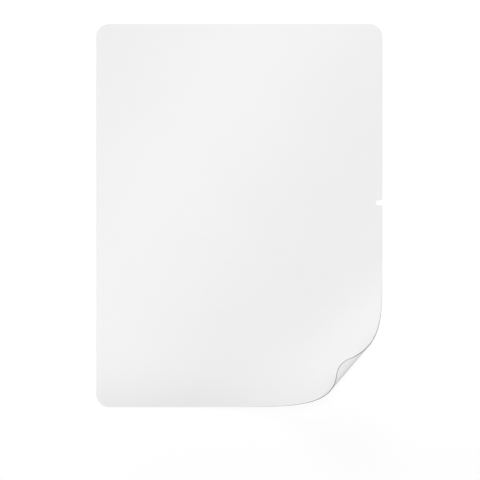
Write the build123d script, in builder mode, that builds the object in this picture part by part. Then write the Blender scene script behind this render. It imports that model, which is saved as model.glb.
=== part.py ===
from build123d import *
import os
from math import asin, atan2, ceil, degrees, radians

# The flat film, in millimetres. X runs across it and Y up it, and the adhesive side lies on Z = 0.
film_width = 205.5
film_height = 275.0
film_thickness = 0.45
corner_radius = 9.3

# The camera notch, a round-ended slot let into the right-hand edge with its mouth corners eased.
notch_width = 3.85
notch_depth = 4.8
notch_above_middle = 9.3
notch_mouth_radius = 0.8

# The lower right corner is curled up and over. The film bends along straight lines that all run out
# to one point beyond the right-hand edge, so the bent film is part of a cone. The first of these
# lines leaves the two edges at these lengths from the corner, and the point lies this far past it.
curl_along_right_edge = 115.6
curl_along_bottom_edge = 160.5
curl_apex_beyond_edge = 165.3
# How far the tip has turned over, in degrees, and how late the turning comes: 1 would be an even
# roll, and 2 is a spiral that tightens steadily from the flat film to the tip.
curl_turn = 138.4
curl_lateness = 2.0
# The outermost part of the rounded corner, past the last bending line, is flat.
curl_tip_flat = 0.7
# The bent film is carried through cross-sections, at most this far apart at the corner, and turns by
# this many small steps from one to the next.
section_spacing = 3.5
turns_per_section = 8

right = film_width / 2
bottom = -film_height / 2
up = Vector(0, 0, 1)

# The whole outline, flat: the sheet as it left the cutting die.
with BuildSketch() as outline:
    RectangleRounded(film_width, film_height, corner_radius)
    with Locations((right, notch_above_middle)):
        SlotCenterToCenter(2 * notch_depth - notch_width, notch_width, mode=Mode.SUBTRACT)
    mouth = outline.vertices().sort_by_distance((right, notch_above_middle))[:2]
    fillet(mouth, notch_mouth_radius)

# The bending lines turn about the apex, from the first one to the one that cuts off the flat tip.
edge_start = Vector(right, bottom + curl_along_right_edge)
foot_start = Vector(right - curl_along_bottom_edge, bottom)
first_line = (foot_start - edge_start).normalized()
apex = edge_start - first_line * curl_apex_beyond_edge
to_corner = Vector(right - corner_radius, bottom + corner_radius) - apex
first_angle = degrees(atan2(first_line.Y, first_line.X))
corner_angle = degrees(atan2(to_corner.Y, to_corner.X))
sweep = corner_angle - first_angle + degrees(asin((corner_radius - curl_tip_flat) / to_corner.length))
reach = film_width + film_height + curl_apex_beyond_edge
curl_sections = ceil(radians(sweep) * to_corner.length / section_spacing)

# The bent film follows the lines one after another: each turns a little about the film's own normal,
# and the normal turns about the line by what the film bends there. A cross-section is as long as the
# line's run across the flat outline and as thick as the film.
steps = curl_sections * turns_per_section
line = first_line
normal = up
sections = []
for step in range(steps + 1):
    if step > 0:
        bend = curl_turn * ((step / steps) ** curl_lateness - ((step - 1) / steps) ** curl_lateness)
        line = line.rotate(Axis((0, 0, 0), normal), sweep / steps / 2)
        normal = normal.rotate(Axis((0, 0, 0), line), bend)
        line = line.rotate(Axis((0, 0, 0), normal), sweep / steps / 2)
    if step % turns_per_section == 0:
        flat_line = first_line.rotate(Axis.Z, sweep * step / steps)
        run = (outline.sketch & Edge.make_line(apex, apex + flat_line * reach)).edge()
        middle = apex + line * (run.center() - apex).length + normal * (film_thickness / 2)
        with BuildSketch(Plane(middle, x_dir=line, z_dir=normal.cross(line))) as section:
            Rectangle(run.length, film_thickness)
        sections.append(section.sketch)

# The tip is what the last line cuts off the flat outline, carried to where that line has come to lie.
last_cut = Plane(apex, x_dir=flat_line, z_dir=up.cross(flat_line))
tip = split(outline.sketch, bisect_by=last_cut, keep=Keep.TOP, mode=Mode.PRIVATE)
tip = Plane(apex, x_dir=flat_line, z_dir=up).to_local_coords(tip)
tip = Plane(apex, x_dir=line, z_dir=normal).from_local_coords(tip)

# The film in one piece: the part that stays flat, the bent part and the flat tip.
with BuildPart() as film:
    extrude(outline.sketch, film_thickness)
    split(bisect_by=Plane(apex, x_dir=first_line, z_dir=up.cross(first_line)), keep=Keep.BOTTOM)
    loft(sections)
    extrude(tip, film_thickness, dir=normal)

film.part.label = "film"

os.makedirs("parts", exist_ok=True)
export_step(film.part, "parts/film.step")
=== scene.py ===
from math import asin, atan2, cos, radians, sin

import bmesh
import bpy
from mathutils import Matrix, Vector


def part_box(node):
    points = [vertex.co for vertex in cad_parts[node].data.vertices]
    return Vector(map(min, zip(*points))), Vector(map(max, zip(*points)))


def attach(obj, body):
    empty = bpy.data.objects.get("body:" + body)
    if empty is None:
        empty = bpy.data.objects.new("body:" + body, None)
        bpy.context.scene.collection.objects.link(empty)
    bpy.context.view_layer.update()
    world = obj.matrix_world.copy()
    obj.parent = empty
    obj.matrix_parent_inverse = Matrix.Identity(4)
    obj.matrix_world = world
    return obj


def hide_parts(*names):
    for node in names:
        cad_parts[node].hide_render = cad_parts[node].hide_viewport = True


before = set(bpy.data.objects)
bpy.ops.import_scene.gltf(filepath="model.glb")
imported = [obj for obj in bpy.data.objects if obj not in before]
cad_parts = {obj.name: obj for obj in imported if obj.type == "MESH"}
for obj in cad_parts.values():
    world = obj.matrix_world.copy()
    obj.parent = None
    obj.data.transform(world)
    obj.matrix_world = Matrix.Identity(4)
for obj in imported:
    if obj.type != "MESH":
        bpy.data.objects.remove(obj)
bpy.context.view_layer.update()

# The film: one sheet of matte polyester with a soft adhesive coat on its back, cut with a steel-rule
# die. It lies on its adhesive side, and its lower right corner has sprung up and curled over.
film_low, film_high = (Vector(corner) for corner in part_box("film"))
film_width = film_high.x - film_low.x
film_height = film_high.y - film_low.y
film_thickness = 0.00045
edge_rounding = 0.00001
corner_radius = 0.0093
corner_segments = 24

# The camera notch is a round-ended slot with eased mouth corners. Its end is rounded by just under
# half its width, so that the two roundings do not run into each other.
notch_width = 0.00385
notch_depth = 0.0048
notch_above_middle = 0.0093
notch_mouth_radius = 0.0008
notch_mouth_segments = 6
notch_end_radius = 0.499 * notch_width
notch_end_segments = 10

# The film bends along straight lines that run out to one point past its right-hand edge.
curl_along_right_edge = 0.1156
curl_along_bottom_edge = 0.1605
curl_apex_beyond_edge = 0.1653
curl_turn = radians(138.4)
curl_lateness = 2.0
curl_tip_flat = 0.0007
fold_count = 120
shortest_edge = 0.0002
same_place = 1e-6
same_line = 1e-7


def everything(mesh):
    """All that a cut of the whole mesh has to look at."""
    return mesh.verts[:] + mesh.edges[:] + mesh.faces[:]


# The flat blank: a sheet with square corners, a square slot cut into one edge, and then every corner
# rounded, those at the slot's end into a half circle.
right, top = film_width / 2, film_height / 2
notch_end = right - notch_depth
notch_sides = (notch_above_middle - notch_width / 2, notch_above_middle + notch_width / 2)
blank = bmesh.new()
bmesh.ops.create_grid(blank, x_segments=1, y_segments=1, size=0.5)
bmesh.ops.scale(blank, vec=(film_width, film_height, 1), verts=blank.verts)
for side in notch_sides:
    bmesh.ops.bisect_plane(blank, geom=everything(blank), plane_co=(0, side, 0), plane_no=(0, 1, 0))
bmesh.ops.bisect_plane(blank, geom=everything(blank), plane_co=(notch_end, 0, 0), plane_no=(1, 0, 0))
slot = [face for face in blank.faces
        if face.calc_center_median().x > notch_end
        and abs(face.calc_center_median().y - notch_above_middle) < notch_width / 2]
bmesh.ops.delete(blank, geom=slot, context="FACES")
bmesh.ops.dissolve_limit(blank, angle_limit=radians(1), verts=blank.verts, edges=blank.edges)


def round_off(mesh, places, radius, segments):
    """Rounds the corners of the blank that lie at the given places."""
    corners = [vert for vert in mesh.verts
               if any((vert.co.xy - Vector(place)).length < same_place for place in places)]
    bmesh.ops.bevel(mesh, geom=corners, offset=radius, offset_type="OFFSET", affect="VERTICES",
                    segments=segments, profile=0.5, material=-1, clamp_overlap=True)


round_off(blank, [(x, y) for x in (-right, right) for y in (-top, top)], corner_radius, corner_segments)
round_off(blank, [(right, side) for side in notch_sides], notch_mouth_radius, notch_mouth_segments)
round_off(blank, [(notch_end, side) for side in notch_sides], notch_end_radius, notch_end_segments)
cut_area = sum(face.calc_area() for face in blank.faces)

# The bending lines are cut into the blank while it is flat.
edge_start = Vector((right, curl_along_right_edge - top, 0))
foot_start = Vector((right - curl_along_bottom_edge, -top, 0))
first_line = (foot_start - edge_start).normalized()
apex = edge_start - first_line * curl_apex_beyond_edge
to_corner = Vector((right - corner_radius, corner_radius - top, 0)) - apex


def turned_from_first_line(flat_place):
    """The angle at the apex between the first bending line and a place on the flat blank."""
    reach = flat_place - apex
    across = Vector((-first_line.y, first_line.x, 0))
    return atan2(reach.dot(across), reach.dot(first_line))


sweep = turned_from_first_line(apex + to_corner) + asin((corner_radius - curl_tip_flat) / to_corner.length)
fold_angles = [sweep * fold / fold_count for fold in range(fold_count + 1)]
for angle in fold_angles:
    line = Matrix.Rotation(angle, 3, "Z") @ first_line
    bmesh.ops.bisect_plane(blank, geom=everything(blank), dist=same_line, plane_co=apex,
                           plane_no=(-line.y, line.x, 0))
bmesh.ops.remove_doubles(blank, verts=blank.verts, dist=shortest_edge)

# Each place on the film keeps its flat coordinates, in metres, for the patterns of the materials.
flat_place = blank.loops.layers.uv.new("flat_place")
for face in blank.faces:
    face.smooth = True
    for loop in face.loops:
        loop[flat_place].uv = loop.vert.co.xy

# Then everything past each line is turned up about it, a little at a time.
flat_turn = {vert: turned_from_first_line(vert.co) for vert in blank.verts}
turned = Matrix.Identity(3)
for fold, angle in enumerate(fold_angles):
    from_share = max(fold - 0.5, 0) / fold_count
    to_share = min(fold + 0.5, fold_count) / fold_count
    bend = curl_turn * (to_share ** curl_lateness - from_share ** curl_lateness)
    line = turned @ Matrix.Rotation(angle, 3, "Z") @ first_line
    one_fold = Matrix.Rotation(bend, 3, line)
    beyond = [vert for vert, flat_angle in flat_turn.items() if flat_angle > angle + same_line]
    bmesh.ops.rotate(blank, cent=apex, matrix=one_fold, verts=beyond)
    turned = one_fold @ turned

film_mesh = bpy.data.meshes.new("film_sheet")
blank.to_mesh(film_mesh)
blank.free()
film = bpy.data.objects.new("film_sheet", film_mesh)
bpy.context.collection.objects.link(film)
thickness = film.modifiers.new("film thickness", "SOLIDIFY")
thickness.thickness = film_thickness
thickness.offset = 1
thickness.use_even_offset = True
thickness.material_offset = 1
thickness.material_offset_rim = 2
rounding = film.modifiers.new("die-cut edge", "BEVEL")
rounding.width = edge_rounding
rounding.segments = 2
rounding.limit_method = "ANGLE"
rounding.angle_limit = radians(50)
rounding.harden_normals = True


def linear(hex_colour):
    """An sRGB hex colour as the linear colour that the shaders take."""
    channels = [int(hex_colour[place:place + 2], 16) / 255 for place in (1, 3, 5)]
    return [c / 12.92 if c <= 0.04045 else ((c + 0.055) / 1.055) ** 2.4 for c in channels] + [1.0]


def node(tree, kind, settings=None, **sockets):
    """Adds a node, sets it, and fills its sockets with values or with the outputs of other nodes.

    A socket whose name others share is given by its number, as in _6.
    """
    made = tree.nodes.new(kind)
    for name, value in (settings or {}).items():
        setattr(made, name, value)
    for name, value in sockets.items():
        socket = made.inputs[int(name[1:]) if name[1:].isdigit() else name.replace("_", " ")]
        if isinstance(value, bpy.types.NodeSocket):
            tree.links.new(value, socket)
        else:
            socket.default_value = value
    return made


def new_material(name):
    """An empty node material and its node tree."""
    material = bpy.data.materials.new(name)
    material.use_nodes = True
    material.node_tree.nodes.clear()
    return material, material.node_tree


# Matte hard coat on polyester: a fine silica-filled lacquer, rolled on, that scatters light evenly and
# writes like paper. Its grain is about 0.05 mm, too fine to show, so it is drawn at 0.5 mm.
grain_size = 0.0005
cloud_size = 0.060
coat, tree = new_material("matte_hard_coat")
place = node(tree, "ShaderNodeUVMap", {"uv_map": "flat_place"}).outputs["UV"]
grain = node(tree, "ShaderNodeTexNoise", Vector=place, Scale=1 / grain_size, Detail=3.0, Roughness=0.6)
cloud = node(tree, "ShaderNodeTexNoise", Vector=place, Scale=1 / cloud_size, Detail=2.0)
tone = node(tree, "ShaderNodeMix", {"data_type": "RGBA"}, Factor=cloud.outputs["Fac"],
            _6=linear("#e6e6e6"), _7=linear("#e8e8e8"))
rough = node(tree, "ShaderNodeMapRange", Value=grain.outputs["Fac"], To_Min=0.52, To_Max=0.66)
bump = node(tree, "ShaderNodeBump", Strength=0.15, Distance=0.00002, Height=grain.outputs["Fac"])
shader = node(tree, "ShaderNodeBsdfPrincipled", IOR=1.5, Base_Color=tone.outputs[2],
              Roughness=rough.outputs["Result"], Normal=bump.outputs["Normal"])
node(tree, "ShaderNodeOutputMaterial", Surface=shader.outputs["BSDF"])
film_mesh.materials.append(coat)

# Silicone adhesive on the back: drawn on along the web and cured, so it is smoother than the coat, with
# faint streaks a few millimetres apart that run the way the web was pulled. It is soft and tacky, so
# its shine is weaker than the IOR of silicone would give.
streak_spacing = 0.004
streak_length = 0.100
adhesive, tree = new_material("silicone_adhesive_back")
place = node(tree, "ShaderNodeUVMap", {"uv_map": "flat_place"}).outputs["UV"]
drawn_out = node(tree, "ShaderNodeMapping", Vector=place,
                 Scale=(1, streak_spacing / streak_length, 1)).outputs["Vector"]
streaks = node(tree, "ShaderNodeTexNoise", Vector=drawn_out, Scale=1 / streak_spacing, Detail=2.0)
tone = node(tree, "ShaderNodeMix", {"data_type": "RGBA"}, Factor=streaks.outputs["Fac"],
            _6=linear("#eeeeef"), _7=linear("#f1f1f2"))
rough = node(tree, "ShaderNodeMapRange", Value=streaks.outputs["Fac"], To_Min=0.22, To_Max=0.27)
bump = node(tree, "ShaderNodeBump", Strength=0.5, Distance=0.00001, Height=streaks.outputs["Fac"])
shader = node(tree, "ShaderNodeBsdfPrincipled", IOR=1.43, Specular_IOR_Level=0.15,
              Base_Color=tone.outputs[2], Roughness=rough.outputs["Result"],
              Normal=bump.outputs["Normal"])
node(tree, "ShaderNodeOutputMaterial", Surface=shader.outputs["BSDF"])
film_mesh.materials.append(adhesive)

# The cut edge: bare polyester sheared by the die, with the fine marks of the blade. Its dark grey is
# painted shade, standing in for the darkness the edge shows because light leaks along the film.
blade_mark_size = 0.0004
edge, tree = new_material("die_cut_edge_painted_shade")
place = node(tree, "ShaderNodeUVMap", {"uv_map": "flat_place"}).outputs["UV"]
marks = node(tree, "ShaderNodeTexNoise", Vector=place, Scale=1 / blade_mark_size, Detail=2.0)
# painted shade: the two dark greys that the blade marks vary between
tone = node(tree, "ShaderNodeMix", {"data_type": "RGBA"}, Factor=marks.outputs["Fac"],
            _6=linear("#353638"), _7=linear("#434446"))
shader = node(tree, "ShaderNodeBsdfPrincipled", IOR=1.57, Roughness=0.5, Base_Color=tone.outputs[2])
node(tree, "ShaderNodeOutputMaterial", Surface=shader.outputs["BSDF"])
film_mesh.materials.append(edge)

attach(film, "root")
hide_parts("film")

# The floor: a plain white acrylic sheet lit from below, as on a light table, so that the curl's shadow
# on it is faint. The film lies on it, and far off it sweeps up all round, so that no horizon shows. It
# is matte, so the film's gloss does not pick it up.
floor_radius = 2.0
sweep_radius = 1.0
sweep_tilts = [radians(tilt) for tilt in range(0, 76, 5)]
floor_gap = 0.000005
floor_steps = 64
floor_mesh = bpy.data.meshes.new("studio_floor")
cove = bmesh.new()
profile = [cove.verts.new((0, 0, -floor_gap))]
for tilt in sweep_tilts:
    profile.append(cove.verts.new((floor_radius + sweep_radius * sin(tilt), 0,
                                   sweep_radius * (1 - cos(tilt)) - floor_gap)))
for inner, outer in zip(profile, profile[1:]):
    cove.edges.new((inner, outer))
bmesh.ops.spin(cove, geom=cove.verts[:] + cove.edges[:], cent=(0, 0, 0), axis=(0, 0, 1),
               angle=radians(360), steps=floor_steps, use_merge=True)
bmesh.ops.remove_doubles(cove, verts=cove.verts, dist=floor_gap)
bmesh.ops.recalc_face_normals(cove, faces=cove.faces)
for face in cove.faces:
    face.smooth = True
cove.to_mesh(floor_mesh)
cove.free()
floor = bpy.data.objects.new("studio_floor", floor_mesh)
floor.visible_glossy = False
bpy.context.collection.objects.link(floor)
acrylic, tree = new_material("lit_white_acrylic")
shader = node(tree, "ShaderNodeBsdfPrincipled", Base_Color=linear("#a0a0a0"), Roughness=0.9,
              Emission_Color=(1, 1, 1, 1), Emission_Strength=0.67)
node(tree, "ShaderNodeOutputMaterial", Surface=shader.outputs["BSDF"])
floor_mesh.materials.append(acrylic)

# Studio light: an even white dome that ends at the floor, a large soft box far off behind the top edge,
# and two weak boxes with grids close above the film. One of these lights all but the foot of the film,
# from a little behind it, and the other draws a faint slanting band across it.
dome_strength = 0.8
horizon_blur = 0.02
world = bpy.data.worlds.new("white_dome")
world.use_nodes = True
tree = world.node_tree
way = node(tree, "ShaderNodeTexCoord").outputs["Generated"]
above = node(tree, "ShaderNodeSeparateXYZ", Vector=way).outputs["Z"]
glow = node(tree, "ShaderNodeMapRange", Value=above, From_Min=-horizon_blur, From_Max=horizon_blur,
            To_Max=dome_strength)
tree.links.new(glow.outputs["Result"], tree.nodes["Background"].inputs["Strength"])
tree.nodes["Background"].inputs["Color"].default_value = (1, 1, 1, 1)
bpy.context.scene.world = world
bpy.context.scene.view_settings.view_transform = "Standard"


def soft_box(name, place, aim, size, turn, power, spread):
    """A rectangular light at one place, facing another, turned by an angle, with its power in watts."""
    data = bpy.data.lights.new(name, "AREA")
    data.shape = "RECTANGLE"
    data.size, data.size_y = size
    data.energy = power
    data.spread = radians(spread)
    lamp = bpy.data.objects.new(name, data)
    facing = (Vector(aim) - Vector(place)).to_track_quat("-Z", "Y").to_matrix()
    lamp.matrix_world = (Matrix.Translation(place)
                         @ (facing @ Matrix.Rotation(radians(turn), 3, "Z")).to_4x4())
    lamp.visible_camera = False
    bpy.context.collection.objects.link(lamp)


soft_box("far_box", place=(-1.4, 4.9, 2.7), aim=(0, 0, 0), size=(3.0, 3.0), turn=0,
         power=60.0, spread=180)
soft_box("foot_grid_box", place=(0, 0.1, 0.3), aim=(0, 0.03, 0), size=(0.4, 0.33), turn=0,
         power=0.072, spread=15)
soft_box("band_grid_box", place=(-0.035, 0.05, 0.3), aim=(-0.035, 0.05, 0), size=(0.7, 0.05), turn=60,
         power=0.013, spread=40)

# The camera looks straight down at the film from far off. The film has the height and the place in the
# picture, in pixels, that it has in the photograph.
picture_px = 480
film_px_tall = 383.0
film_px_middle = (239.25, 215.5)
px_size = film_height / film_px_tall
camera_data = bpy.data.cameras.new("camera")
camera_data.sensor_width = 36
camera_data.lens = 180
camera_data.clip_end = 20
camera = bpy.data.objects.new("camera", camera_data)
camera.location = ((picture_px / 2 - film_px_middle[0]) * px_size,
                   (film_px_middle[1] - picture_px / 2) * px_size,
                   film_thickness + picture_px * px_size * camera_data.lens / camera_data.sensor_width)
bpy.context.collection.objects.link(camera)
bpy.context.scene.camera = camera
